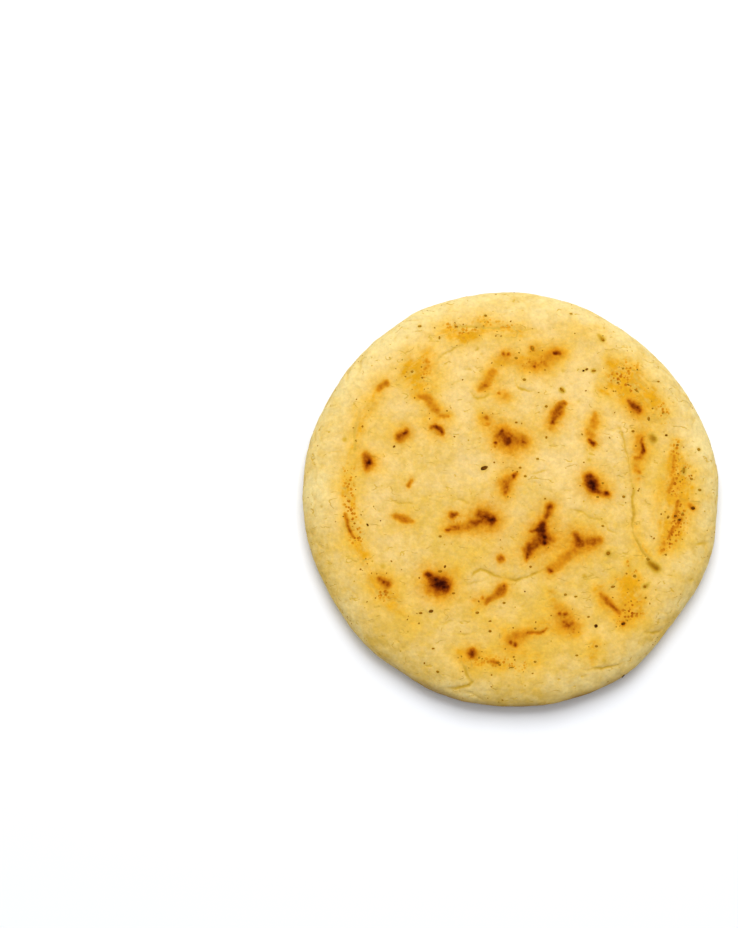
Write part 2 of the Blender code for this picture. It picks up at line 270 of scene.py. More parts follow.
# Where single grains of the golden dough are toasted darker.
GRAINY = (
    ((-16.6, 45, 1.6, 0.55), (-12, 42.6, 2.2, 0.6), (-7, 46.4, 1.6, 0.5), (0, 44.4, 1.4, 0.5)),
    ((-22.4, 35.4, 1.6, 0.65), (-23, 31, 1.8, 0.6)),
    ((4, 34.6, 2.2, 0.75), (9, 35.2, 2.2, 0.85)),
    ((-3.4, 15.4, 2, 0.7), (-4.8, 12, 1.6, 0.8)),
    ((27.8, 30.6, 2.2, 0.85), (31.6, 33.4, 2.4, 0.75)),
    ((30.6, 28.4, 1.8, 0.8), (34, 26.8, 1.6, 0.75)),
    ((39.8, 22.4, 1.6, 0.8), (40.6, 19.6, 1.4, 0.85)),
    ((43.4, 12.8, 1.4, 0.75), (42.8, 8.6, 1.2, 0.8), (42.4, 5.6, 1.2, 0.8)),
    ((43.4, 3, 1.8, 0.95), (42.2, 0.8, 1.8, 0.95)),
    ((45.8, 6.4, 1.2, 0.8), (46.8, 3.2, 1.2, 0.75)),
    ((43.8, -2.6, 1.4, 0.85), (44, -6.8, 2.2, 0.95), (42.2, -11, 2, 1), (39.6, -15.6, 1.4, 0.85)),
    ((30.2, -18.8, 0.9, 0.7), (31.6, -21.6, 0.9, 0.7)),
    ((31, -31.2, 2.8, 1), (28, -33.2, 2, 0.95)),
    ((12.8, -32.6, 1.6, 0.8), (14.6, -35.6, 2.4, 0.95)),
    ((-1, -39.6, 1.4, 0.7),),
    ((-11.4, -44.4, 2, 0.55), (-5.6, -45, 1.6, 0.7), (2, -45.8, 1.6, 0.6)),
    ((-14.6, -8.6, 1.6, 0.7),), ((-16.4, -22, 1.4, 0.7),),
    ((-42.8, 6, 1.6, 0.7), (-43, -2, 1.6, 0.8), (-41, -13, 1.8, 0.9)),
    ((-33.6, -27, 2, 0.9),),
)

# The palest dough, where the face never touched the griddle.
PALE_PATCHES = (
    ((-12, 7, 3, 0.8), (-13, 12, 3, 0.9), (-13.4, 20, 3, 0.7), (-14, 30, 3.2, 0.6)),
    ((4, 9, 3.2, 0.7), (10, 8, 4, 0.9), (16, 7, 3, 0.8)),
    ((9, 0, 3.4, 0.5), (17, -2, 2.6, 0.5)),
    ((25.6, 4, 2.6, 0.6), (26.4, 12, 3, 0.9), (25.4, 18, 2.6, 0.6)),
    ((6, 24, 3.4, 0.4), (17, 29.4, 3.4, 0.8), (17.6, 24, 2.6, 0.6)),
    ((-9, -24.4, 2.6, 1),),
    ((2.4, -25.4, 2.6, 1), (7, -24.6, 2.2, 0.8)),
    ((-4, -32, 2.6, 0.7), (1.6, -32.4, 2.2, 0.6)),
    ((17.6, -40.6, 2.6, 0.8),),
    ((40.8, -30.2, 1.5, 0.8), (37.6, -33.2, 1.5, 0.7)),
    ((34.8, -1, 1.8, 0.5), (34.4, -8, 2, 0.9)),
    ((-33, 4, 4, 0.6), (-32, -14, 4, 0.5)),
)

# Olive smudges: bruised husk and damp spots in the skin.
SMUDGES = (
    ((37.4, 14.1, 0.9, 0.95), (36.8, 14.6, 0.9, 0.95)),
    ((35.6, -19.1, 0.9, 0.8), (36.4, -19.8, 0.95, 0.95), (37.3, -20.5, 1, 1)),
    ((24.9, -16.5, 0.7, 0.65),),
    ((24.5, 41.2, 0.5, 0.75), (23.6, 42.4, 0.6, 0.5)),
    ((20.3, 8.3, 0.6, 0.45),),
    ((18.5, -22.5, 0.7, 0.5), (19.2, -23.2, 0.5, 0.4)),
    ((8.8, -17.8, 0.6, 0.35),), ((23.2, -44.5, 0.8, 0.4),),
    ((13.3, 27.4, 0.5, 0.55), (13.7, 26.9, 0.5, 0.5)),
    ((13.8, 32.6, 0.5, 0.4),), ((21.8, 32.6, 0.5, 0.5),),
    ((34.2, -25.3, 0.7, 0.55), (35.6, -24.2, 0.4, 0.35)),
    ((45.2, 6.6, 0.5, 0.45), (45.3, 5.2, 0.5, 0.5)),
    ((-34, -20, 0.8, 0.45),), ((-44, 14, 0.7, 0.5),),
)

# Creases, each as its radius, its depth (1 is the deepest) and the points it runs through.
CREASES = (
    # the long seam down the right side, and the notch it ends in
    (0.34, 0.6, ((28, 18), (29.3, 15.5), (29.8, 12), (30.6, 9), (31.2, 6.5), (31.5, 3))),
    (0.38, 0.85, ((31.5, 3), (31.8, 0), (31.8, -3), (31.6, -6), (31.3, -8.5), (31.6, -11))),
    (0.4, 0.9, ((31.6, -11), (32.2, -13), (33.5, -15.5), (34.5, -17), (36, -18.5))),
    (0.55, 0.8, ((35.6, -19), (36.4, -19.8), (37.4, -20.7))),
    # front middle and the middle
    (0.36, 0.8, ((-11.2, -23), (-10.2, -21.5), (-8.6, -21), (-6.4, -21.7), (-5, -22.3), (-3.4, -22.8))),
    (0.38, 1, ((-3.4, -22.8), (0.5, -23.3), (3.4, -22.9))),
    (0.38, 1, ((3.4, -22.9), (5.4, -21.8), (8, -21))),
    (0.36, 0.6, ((14.5, -5), (17, -5.5), (18.5, -5.8), (20, -7), (22.5, -7.8), (24, -8.3))),
    (0.36, 0.67, ((24, -8.3), (25, -10.4), (27.5, -11.4))),
    (0.34, 0.57, ((-16.5, -2), (-14, -2.3), (-12, -3.3), (-10.5, -3.9))),
    (0.32, 0.57, ((3.8, 4.6), (6.5, 4.5), (8.5, 5.3), (9.5, 5.6))),
    # the back
    (0.34, 0.8, ((1.2, 28.3), (3, 27.5), (5.5, 26.9))),
    (0.34, 0.72, ((-11, 26.6), (-10, 25.3), (-9, 24.6), (-7, 25), (-6, 25.8), (-5.5, 26.8))),
    (0.3, 0.47, ((-12, 23.8), (-10.5, 24.3))),
    (0.32, 0.52, ((-21, 31), (-19.5, 32), (-18, 32.6))),
    (0.34, 0.62, ((-20.3, 35.3), (-18, 37.2), (-15, 38.6), (-11.5, 39.3))),
    (0.34, 0.67, ((-9.2, 39.7), (-8.8, 38.3), (-10, 37.5))),
    (0.36, 0.67, ((-17, 44.4), (-13, 44.5), (-10, 44.3), (-5, 44.3), (-2, 44.6), (1, 44.5))),
    (0.34, 0.62, ((1, 44.5), (4, 43.8), (7, 44))),
    (0.34, 0.52, ((-6, 48), (0, 48.3))),
    (0.34, 0.52, ((-2, 52.2), (0.5, 52.1))),
    # back right
    (0.34, 0.62, ((26, 35.8), (27.6, 34.6))),
    (0.32, 0.57, ((28.3, 36), (30.5, 35.6), (32, 35.2))),
    (0.34, 0.67, ((31, 29), (33, 27.7), (35, 26.6))),
    (0.32, 0.62, ((34.4, 29.6), (35.6, 28), (36.5, 26.9))),
    (0.3, 0.47, ((27.8, 21.2), (30, 20.5))),
    # front right and the front rim
    (0.36, 0.6, ((35.2, -24.5), (34.2, -25.5), (34.8, -26.6))),
    (0.38, 0.68, ((19, -47), (21.5, -46.7), (24.5, -46.3), (28.6, -45))),
    (0.36, 0.55, ((22.6, -46.8), (22.4, -49.8))),
    (0.42, 0.8, ((33.6, -37.6), (36.6, -37.1), (38.6, -36.2))),
    (0.45, 0.8, ((47.7, -14.4), (49.2, -14), (51.2, -13.2))),
    (0.3, 0.7, ((3.5, -37.6), (5, -37.4), (6.5, -37.5), (8.2, -37.1), (9.2, -36.1))),
    (0.32, 0.52, ((2, -28), (3, -29.5), (2, -30.8))),
    (0.3, 0.47, ((-4, -32.3), (-1, -31.9))),
    # front left, with the V that folds over the rim
    (0.5, 0.9, ((-13.6, -45), (-12.6, -47.4), (-11.2, -50))),
    (0.45, 0.75, ((-10.4, -49.6), (-12, -50.8), (-14, -51.2), (-17.5, -51.9))),
    (0.34, 0.52, ((-19.5, -35.6), (-17.5, -35), (-16.5, -34.6))),
    (0.34, 0.62, ((-16.5, -37.8), (-13, -38), (-10.5, -37.5))),
    (0.34, 0.57, ((-12.5, -39.3), (-5.5, -39.3))),
    # the left side has a few of the same
    (0.4, 0.6, ((-40, 22), (-41.5, 17), (-41, 12), (-42, 8))),
    (0.36, 0.62, ((-33, -2), (-30, -3.2), (-27, -3), (-25, -4))),
    (0.36, 0.62, ((-38, -24), (-35, -27), (-31, -28))),
)

# Burnt crumbs on the face: (x, y, length, width), and where it matters the turn in degrees.
BURNT_CRUMBS = (
    (-7.4, 6.1, 2.1, 1, 18), (47.4, -4.3, 1, 0.9), (21.3, -35.6, 1, 0.9, 40), (28.4, -35, 1.2, 0.7, 20),
    (19.2, 32.6, 0.7, 0.5, 20), (20.1, 33, 0.8, 0.6, 30), (-21.5, -31.8, 1.3, 0.8, 10),
    (-17.8, -20.1, 0.8, 0.6, 60), (42.7, -6.4, 0.8, 0.6), (43.7, -7.4, 0.8, 0.6), (40.8, 15.2, 0.8, 0.6),
    (-31, 12, 0.8, 0.6, 40), (-38, -9, 0.9, 0.5, 120),
)

# A crumb that stands on the side, at the outline's front right.
SIDE_CRUMB = (Vector((28.5 * MM, -47.6 * MM, 5.0 * MM)), 1.3, 0.9, 30)

# Flecks of bran and husk that stand out, in the same way as the burnt crumbs on the face.
BRAN_SPOTS = (
    (29.2, -1.4, 0.9, 0.7), (35.2, -18, 1, 0.8), (22, 32.6, 1.3, 0.5, 5), (3.5, 30.1, 1, 0.8),
    (5.8, 38.6, 1.4, 0.7, 100), (1.4, 36, 0.9, 0.7), (32.7, 12.3, 0.6, 0.5), (32, 16.2, 0.9, 0.7),
    (28.3, 29.3, 0.8, 0.6), (33.2, 27, 1.7, 0.5, 140), (31, 28.7, 0.8, 0.5, 150), (29.7, 33.2, 0.7, 0.6),
    (13.5, -27.4, 0.8, 0.7), (-4.2, -45.1, 0.8, 0.5), (-6.2, -37, 0.9, 0.7), (-9.5, -32.2, 1, 0.7, 10),
    (-2.5, -29.6, 0.9, 0.6), (4.5, -20.1, 0.7, 0.6), (21.3, -40.9, 0.9, 0.7), (-24.1, 45, 1.1, 0.7),
    (-18.9, 41.6, 1, 0.5, 90), (-14.4, 44.7, 0.9, 0.6), (-6.6, 47.8, 0.9, 0.7), (-26.2, 32.3, 0.8, 0.7),
    (24.5, 41.2, 1.3, 0.7, 120), (13.4, 27.3, 1.5, 0.7, 130), (9.2, 22.8, 0.9, 0.7),
    (9.1, 14.4, 0.8, 0.6, 80), (1.2, 18.4, 0.8, 0.5), (16.3, 48.5, 0.9, 0.5), (36.2, 19.6, 1.2, 0.7, 90),
    (39, 29.7, 0.8, 0.5), (49.4, 11.6, 1, 0.8), (2.1, 6.2, 0.8, 0.6), (3.4, 3.9, 0.8, 0.7),
    (6.7, 8.6, 0.8, 0.6), (8.5, -2.1, 0.6, 0.5), (23.7, 2.1, 0.7, 0.6), (22.3, -1.6, 0.8, 0.6),
    (-19, -12.1, 0.9, 0.7), (-19.1, -21.3, 1.1, 0.7), (23.5, -9.3, 0.8, 0.6), (43.7, 12.6, 0.8, 0.6),
    (45.2, 5.8, 1.7, 0.7, 85), (47.2, 3.5, 0.8, 0.6), (49.3, 0.6, 1, 0.7), (44.6, -5.8, 0.8, 0.6, 60),
    (40.8, -6.7, 1, 0.7, 60), (24.8, -16.5, 1.1, 0.9), (-24.2, -32.3, 1, 0.6), (-15.6, -27.1, 1, 0.6),
    (-6.2, -34.4, 0.9, 0.5), (-21, -41.5, 0.8, 0.5), (-19.8, -47.4, 0.8, 0.7), (-0.7, -46.4, 1.4, 0.4),
    (5.4, -44.9, 0.8, 0.6), (16.2, -27.9, 1, 0.5), (25.9, -25.3, 1.2, 0.6, 10), (31.6, -22.5, 0.9, 0.8),
    (34.2, -25.3, 1, 0.8), (19.4, -33.2, 0.8, 0.5), (16.2, -43.3, 0.8, 0.5),
)


# ---------------------------------------------------------------- camera and light
CAMERA_LENS = 100.0
SENSOR_SIDE = 36.0
CAMERA_ELEVATION = math.radians(78)
CAMERA_AIM = Vector((-37.6 * MM, 8.45 * MM, 6 * MM))
VIEW_HEIGHT = 245.9 * MM  # what the long side of the view takes in at the cake
SKY_STRENGTH = 0.42

# Each lamp's name, place in metres, side and power.
LAMPS = (("key", (0.0, 0.47, 0.97), 0.7, 9.5), ("overhead", (0.0, 0.05, 1.3), 1.0, 3.3))


def add_camera():
    data = bpy.data.cameras.new("camera")
    data.lens = CAMERA_LENS
    data.sensor_width = SENSOR_SIDE
    camera = bpy.data.objects.new("camera", data)
    bpy.context.scene.collection.objects.link(camera)
    back = Vector((0.0, -math.cos(CAMERA_ELEVATION), math.sin(CAMERA_ELEVATION)))
    camera.location = CAMERA_AIM + back * (VIEW_HEIGHT * CAMERA_LENS / SENSOR_SIDE)
    camera.rotation_mode = "QUATERNION"
    camera.rotation_quaternion = back.to_track_quat("Z", "Y")
    bpy.context.scene.camera = camera


def add_lamp(name, place, size, power):
    """A square soft white lamp that faces the cake."""
    data = bpy.data.lights.new(name, "AREA")
    data.shape = "SQUARE"
    data.size = size
    data.energy = power
    lamp = bpy.data.objects.new(name, data)
    lamp.location = place
    lamp.rotation_euler = Vector(place).to_track_quat("Z", "Y").to_euler()
    lamp.visible_camera = False
    bpy.context.scene.collection.objects.link(lamp)


def add_studio_light():
    world = bpy.data.worlds.new("studio")
    bpy.context.scene.world = world
    world.use_nodes = True
    sky = world.node_tree.nodes["Background"]
    sky.inputs["Color"].default_value = (1.0, 1.0, 1.0, 1.0)
    sky.inputs["Strength"].default_value = SKY_STRENGTH
    for lamp in LAMPS:
        add_lamp(*lamp)
    bpy.context.scene.view_settings.view_transform = "Standard"


# ---------------------------------------------------------------- helpers for shapes
FADE = 0.69  # makes a brush cover half as much at a dab's radius as in its middle
FAINTEST = 7.0  # the distance in radii, to the power of the firmness, where a brush stops covering
MELT = 5  # how sharply the hottest stroke wins where strokes overlap
LEAST_WEIGHT = 0.002  # weights below this are left out
SHORTEST = 1e-12  # stands in for the squared length of a single dab's run, which is nothing
SOFT = 2.0  # the firmness of a soft brush
NEXT_PATTERN = 31.0  # takes a draw of the noise on to another pattern


def pick(thing):
    """Selects this object alone and makes it the active one."""
    bpy.ops.object.select_all(action="DESELECT")
    thing.select_set(True)
    bpy.context.view_layer.objects.active = thing


def finish_modifier(thing, kind, **settings):
    """Adds a modifier to the picked object and applies it."""
    modifier = thing.modifiers.new(kind.lower(), kind)
    for name, value in settings.items():
        setattr(modifier, name, value)
    bpy.ops.object.modifier_apply(modifier=modifier.name)


def places_of(thing):
    """Where the corners of the object's mesh are, as rows of x, y and z."""
    found = np.empty(len(thing.data.vertices) * 3, np.float32)
    thing.data.vertices.foreach_get("co", found)
    return found.reshape(-1, 3).astype(float)


def select_faces(thing, chosen):
    """Selects the faces whose corners are all chosen, and leaves edit mode open on them."""
    pick(thing)
    bpy.ops.object.mode_set(mode="EDIT")
    bpy.ops.mesh.select_mode(type="FACE")
    bpy.ops.mesh.select_all(action="DESELECT")
    bpy.ops.object.mode_set(mode="OBJECT")
    for face in thing.data.polygons:
        face.select = all(chosen[corner] for corner in face.vertices)
    bpy.ops.object.mode_set(mode="EDIT")


def soft_step(values, low, high):
    """0 below the low end and 1 above the high one, with a smooth rise between."""
    share = np.clip((values - low) / (high - low), 0.0, 1.0)
    return share * share * (3.0 - 2.0 * share)


def rolling_noise(places, size, draw):
    """Soft noise from -1 to 1 at each place, in waves of the given size. Each draw is another pattern."""
    away = Vector((draw, draw * 1.7, draw * 0.3))
    return np.array([noise.noise(Vector(place) / size + away) for place in places])


def wander(places, swings):
    """Places pushed about sideways by soft noise, one swing (size, amount, draw) after another."""
    for size, amount, draw in swings:
        pushed = places.copy()
        for axis in (0, 1):
            pushed[:, axis] += amount * rolling_noise(places, size, draw + NEXT_PATTERN * axis)
        places = pushed
    return places


def under_brush(flat, stroke, firmness):
    """The flat places near a stroke, and how strongly it covers each: half at the dab's radius.

    A lower firmness than a soft brush's leaves a peak with a long tail.
    """
    dabs = np.array(stroke, float) * (MM, MM, MM, 1.0)
    reach = FAINTEST ** (1.0 / firmness) * dabs[:, 2].max()
    low = dabs[:, :2].min(axis=0) - reach
    high = dabs[:, :2].max(axis=0) + reach
    near = np.flatnonzero(np.all((flat > low) & (flat < high), axis=1))
    close = flat[near]
    ends = dabs[1:] if len(dabs) > 1 else dabs
    cover = np.zeros(len(near))
    for start, end in zip(dabs, ends):
        run = end[:2] - start[:2]
        share = np.clip((close - start[:2]) @ run / max(run @ run, SHORTEST), 0.0, 1.0)
        dab = start + share[:, None] * (end - start)
        apart = np.linalg.norm(close - dab[:, :2], axis=1) / dab[:, 2]
        cover = np.maximum(cover, dab[:, 3] * np.exp(-FADE * apart**firmness))
    return near, cover


def painted(flat, strokes, firmness):
    """The strokes laid over each other as layers of glaze, on places of two coordinates."""
    clear = np.ones(len(flat))
    for stroke in strokes:
        near, cover = under_brush(flat, stroke, firmness)
        clear[near] *= 1.0 - cover
    return 1.0 - clear


def hottest(flat, strokes, firmness):
    """The strokes laid over each other with the hottest on top, and melted into each other."""
    heat = np.zeros(len(flat))
    for stroke in strokes:
        near, cover = under_brush(flat, stroke, firmness)
        heat[near] += cover**MELT
    return heat ** (1 / MELT)


def keep_field(thing, name, values):
    """Keeps a number for each corner, under a name that a material can read."""
    field = thing.data.attributes.new(name, "FLOAT", "POINT")
    field.data.foreach_set("value", values.astype(np.float32))


def keep_weights(thing, name, values):
    group = thing.vertex_groups.new(name=name)
    for index in np.flatnonzero(values > LEAST_WEIGHT):
        group.add([int(index)], float(values[index]), "REPLACE")


# ---------------------------------------------------------------- helpers for materials
MIX_INPUTS = (0, 6, 7)  # the mix node's share and its two colours, whose names stand for other sockets too
MIX_RESULT = 2


def from_display(red, green, blue):
    """A display colour, 0 to 255, as the linear colour that shaders take."""
    linear = [
        (value / 255 / 12.92) if value <= 10 else ((value / 255 + 0.055) / 1.055) ** 2.4
        for value in (red, green, blue)
    ]
    return (*linear, 1.0)


def set_input(tree, socket, value):
    if isinstance(value, bpy.types.NodeSocket):
        tree.links.new(value, socket)
    else:
        socket.default_value = value


def set_inputs(tree, node, **inputs):
    """Sets a node's inputs by name, to values or links: Base_Color stands for the socket Base Color."""
    for name, value in inputs.items():
        set_input(tree, node.inputs[name.replace("_", " ")], value)


def add_node(tree, kind, settings=None, **inputs):
    """A new node with its settings and its inputs."""
    made = tree.nodes.new(kind)
    for name, value in (settings or {}).items():
        setattr(made, name, value)
    set_inputs(tree, made, **inputs)
    return made


def maths(tree, operation, first, second=0.0, third=0.0, clamp=False):
    made = tree.nodes.new("ShaderNodeMath")
    made.operation = operation
    made.use_clamp = clamp
    for socket, value in zip(made.inputs, (first, second, third)):
        set_input(tree, socket, value)
    return made.outputs[0]


def blend_colours(tree, share, first, second, way="MIX"):
    made = tree.nodes.new("ShaderNodeMix")
    made.data_type = "RGBA"
    made.blend_type = way
    for index, value in zip(MIX_INPUTS, (share, first, second)):
        set_input(tree, made.inputs[index], value)
    return made.outputs[MIX_RESULT]


def spread(tree, value, low, high, to_low=0.0, to_high=1.0):
    """A value carried from one range to another, smoothly and with its ends held."""
    made = add_node(tree, "ShaderNodeMapRange", {"interpolation_type": "SMOOTHSTEP"}, Value=value)
    set_inputs(tree, made, From_Min=low, From_Max=high, To_Min=to_low, To_Max=to_high)
    return made.outputs["Result"]


def field(tree, name):
    return add_node(tree, "ShaderNodeAttribute", {"attribute_name": name}).outputs["Fac"]


def waves(tree, where, scale, detail=2.0, roughness=0.5):
    """The outputs of a noise node, whose scale is one over the size of its waves."""
    return add_node(
        tree, "ShaderNodeTexNoise", Vector=where, Scale=scale, Detail=detail, Roughness=roughness
    ).outputs


def soft_noise(tree, where, size, detail=2.0, roughness=0.5):
    """Noise whose waves are about this many metres across."""
    return waves(tree, where, 1.0 / size, detail, roughness)["Fac"]


def stretched(tree, where, across, along, up=1.0):
    """Coordinates that draw a pattern out: a small share makes it long on that axis."""
    made = add_node(tree, "ShaderNodeMapping", Vector=where)
    made.inputs["Scale"].default_value = (across, along, up)
    return made.outputs[0]


def colour_steps(tree, value, steps):
    """A ramp through (position, red, green, blue) steps of display colours."""
    steps = [(position, from_display(*colour)) for position, *colour in steps]
    made = add_node(tree, "ShaderNodeValToRGB", Fac=value)
    ramp = made.color_ramp.elements
    ramp[0].position, ramp[0].color = steps[0]
    ramp[1].position, ramp[1].color = steps[-1]
    for position, colour in steps[1:-1]:
        ramp.new(position).color = colour
    return made.outputs["Color"]


def start_group(name, size, others, outputs):
    """A new shader group that takes a place, a size and other numbers.

    Gives its tree, what it takes, the scale that the size makes, and its output node.
    """
    tree = bpy.data.node_groups.new(name, "ShaderNodeTree")
    tree.interface.new_socket("Where", in_out="INPUT", socket_type="NodeSocketVector")
    for label, value in (size, *others):
        socket = tree.interface.new_socket(label, in_out="INPUT", socket_type="NodeSocketFloat")
        socket.default_value = value
    for label in outputs:
        tree.interface.new_socket(label, in_out="OUTPUT", socket_type="NodeSocketFloat")
    given = tree.nodes.new("NodeGroupInput").outputs
    scale = maths(tree, "DIVIDE", 1.0, given[size[0]])
    return tree, given, scale, tree.nodes.new("NodeGroupOutput")


def use_group(tree, group, **inputs):
    """The outputs of a shader group that is put to work in this tree."""
    return add_node(tree, "ShaderNodeGroup", {"node_tree": group}, **inputs).outputs


def start_material(name):
    """A new material, its tree, its surface shader and the piece's own coordinates."""
    material = bpy.data.materials.new(name)
    material.use_nodes = True
    tree = material.node_tree
    where = add_node(tree, "ShaderNodeTexCoord").outputs["Object"]
    return material, tree, tree.nodes["Principled BSDF"], where


def add_bump(tree, surface, heights):
    """Makes the surface rough by heights in metres."""
    bump = add_node(tree, "ShaderNodeBump", Height=heights, Distance=1.0)
    set_inputs(tree, surface, Normal=bump.outputs[0])


# ---------------------------------------------------------------- shared effects
def make_grit_group():
    """The grain of ground maize: a tone from 0 to 1 and a height, in grains of the given size."""
    tree, given, scale, result = start_group("maize_grit", ("Grain Size", 0.8 * MM), (), ("Tone", "Height"))
    tone = waves(tree, given["Where"], scale, 3.0, 0.6)["Fac"]
    smooth = {"feature": "SMOOTH_F1"}
    grains = add_node(
        tree, "ShaderNodeTexVoronoi", smooth, Vector=given["Where"], Scale=scale, Smoothness=0.6
    )
    bumps = maths(tree, "SUBTRACT", 1.0, grains.outputs["Distance"])
    set_inputs(tree, result, Tone=tone, Height=maths(tree, "MULTIPLY_ADD", bumps, 0.5, tone))
    return tree


def make_speck_group():
    """Scattered ragged dots: a mask that is 1 in a dot. Cell Size spaces them, Share says how many show."""
    others = (("Share", 0.3), ("Dot Size", 0.2))
    tree, given, scale, result = start_group("specks", ("Cell Size", 2.0 * MM), others, ("Mask",))
    ragged = waves(tree, given["Where"], maths(tree, "MULTIPLY", scale, 4.0))["Color"]
    push = add_node(tree, "ShaderNodeVectorMath", {"operation": "SCALE"}, Vector=ragged, Scale=0.25 * MM)
    moved = add_node(tree, "ShaderNodeVectorMath", {"operation": "ADD"}, Vector=given["Where"])
    tree.links.new(push.outputs[0], moved.inputs[1])
    cells = add_node(tree, "ShaderNodeTexVoronoi", Vector=moved.outputs[0], Scale=scale).outputs
    parts = add_node(tree, "ShaderNodeSeparateColor", Color=cells["Color"]).outputs
    shown = maths(tree, "LESS_THAN", parts[0], given["Share"])
    reach = maths(tree, "MULTIPLY", maths(tree, "ADD", parts[1], 0.35), given["Dot Size"])
    dot = spread(tree, maths(tree, "DIVIDE", cells["Distance"], reach), 1.0, 0.55)
    set_inputs(tree, result, Mask=maths(tree, "MULTIPLY", dot, shown))
    return tree


def make_hairline_group():
    """Fine broken lines such as the skin of dough shows where it was folded: a mask that is 1 on a line."""
    others = (("Width", 0.03), ("Share", 0.5))
    tree, given, scale, result = start_group("hairlines", ("Spacing", 6.0 * MM), others, ("Mask",))
    swell = waves(tree, given["Where"], scale, 3.0, 0.45)["Fac"]
    off_line = maths(tree, "ABSOLUTE", maths(tree, "SUBTRACT", swell, 0.5))
    line = spread(tree, maths(tree, "DIVIDE", off_line, given["Width"]), 1.0, 0.0)
    breaks = waves(tree, given["Where"], maths(tree, "MULTIPLY", scale, 2.3))["Fac"]
    kept = spread(tree, maths(tree, "ADD", breaks, given["Share"]), 1.0, 1.12)
    set_inputs(tree, result, Mask=maths(tree, "MULTIPLY", line, kept))
    return tree


# ---------------------------------------------------------------- materials
STREAK_REACH = 9 * MM  # a fifth of the radius of the golden ring, so streaks are five times as long as wide
CREAM = from_display(227, 195, 124)
MAIZE = from_display(214, 176, 78)
RIM_CREAM = from_display(229, 206, 138)
PALE_GOLD = from_display(224, 176, 52)
DEEP_GOLD = from_display(214, 154, 20)
# Painted shade: the colour that darkens the lower side at the front, which faces away from the lamps behind
# the cake.
PAINTED_FOOT_SHADE = from_display(176, 162, 150)
CHAR_BROWN = from_display(122, 74, 8)
CHAR_BLACK = from_display(72, 36, 4)
BRAN_BROWN = from_display(156, 102, 10)
BRAN_OLIVE = from_display(162, 116, 18)

# Painted shade in creases and folds, and bruises and husk in the dough, from a tinge of yellow to olive
# brown.
BRUISE_AND_CREASE_SHADE = ((0.0, 221, 184, 90), (0.4, 200, 160, 54), (0.75, 170, 122, 16), (1.0, 134, 88, 4))

# What heat does to the dough, from golden to burnt black.
TOAST = (
    (0.0, 222, 172, 60), (0.2, 216, 157, 40), (0.36, 202, 134, 20), (0.5, 182, 108, 10), (0.6, 158, 83, 3),
    (0.69, 133, 60, 0), (0.78, 107, 41, 0), (0.88, 80, 24, 0), (1.0, 48, 7, 0),
)


def round_the_cake(tree, where):
    """Coordinates in metres outward, round the cake and up, the second drawn out so patterns run round it."""
    parts = add_node(tree, "ShaderNodeSeparateXYZ", Vector=where).outputs
    x, y = parts["X"], parts["Y"]
    outward = maths(tree, "SQRT", maths(tree, "MULTIPLY_ADD", x, x, maths(tree, "MULTIPLY", y, y)))
    turn = maths(tree, "MULTIPLY", maths(tree, "ARCTAN2", y, x), STREAK_REACH)
    return add_node(tree, "ShaderNodeCombineXYZ", X=outward, Y=turn, Z=parts["Z"]).outputs["Vector"]


def plain_dough(tree, where):
    """Cream and maize yellow in soft clouds, yellower to the front and paler to the back as painted sheen of
    the light from behind, paler on the rim and in pale patches.
    """
    rim = field(tree, "rim")
    clouds = spread(tree, soft_noise(tree, where, 11 * MM, detail=3.0), 0.36, 0.64, 0.0, 0.5)
    mottle = spread(tree, soft_noise(tree, where, 2.4 * MM, detail=3.0), 0.36, 0.64, 0.0, 0.32)
    yellow = maths(tree, "ADD", clouds, mottle)
    # Painted sheen: paler towards the back, where the light from behind glances off the dough, and yellower
    # to the front.
    to_back = add_node(tree, "ShaderNodeSeparateXYZ", Vector=where).outputs["Y"]
    yellow = maths(tree, "ADD", yellow, spread(tree, to_back, -50 * MM, 50 * MM, 0.46, -0.1))
    yellow = maths(tree, "MULTIPLY_ADD", field(tree, "pale"), -0.36, yellow)
    pale = blend_colours(tree, rim, CREAM, RIM_CREAM)
    return blend_colours(tree, maths(tree, "MULTIPLY_ADD", rim, -0.3, yellow, clamp=True), pale, MAIZE)


def underside_toast(tree, where):
    """Toasting of the side that can't be brushed: blots of heat, and the gold around them."""
    below = field(tree, "underside")
    blots = soft_noise(tree, where, 8 * MM, detail=4.0, roughness=0.55)
    heat = maths(tree, "MULTIPLY", below, spread(tree, blots, 0.57, 0.74, 0.0, 0.9))
    gold = maths(tree, "MULTIPLY", below, spread(tree, blots, 0.42, 0.6, 0.05, 0.8))
    return heat, gold


def gilded(tree, where, colour, gold_below):
    """The dough with its gold, in washes streaked round the cake."""
    washes = soft_noise(tree, where, 3.2 * MM, detail=4.0, roughness=0.62)
    streaks = soft_noise(tree, round_the_cake(tree, where), 1.0 * MM, detail=3.0)
    uneven = spread(tree, washes, 0.3, 0.7, 0.62, 1.1)
    uneven = maths(tree, "ADD", uneven, spread(tree, streaks, 0.3, 0.7, -0.06, 0.22))
    gold = maths(tree, "MAXIMUM", field(tree, "gold"), gold_below)
    gold = maths(tree, "MULTIPLY", gold, uneven, clamp=True)
    gilt = blend_colours(tree, spread(tree, gold, 0.35, 1.0), PALE_GOLD, DEEP_GOLD)
    return blend_colours(tree, maths(tree, "MULTIPLY", gold, 1.1, clamp=True), colour, gilt)


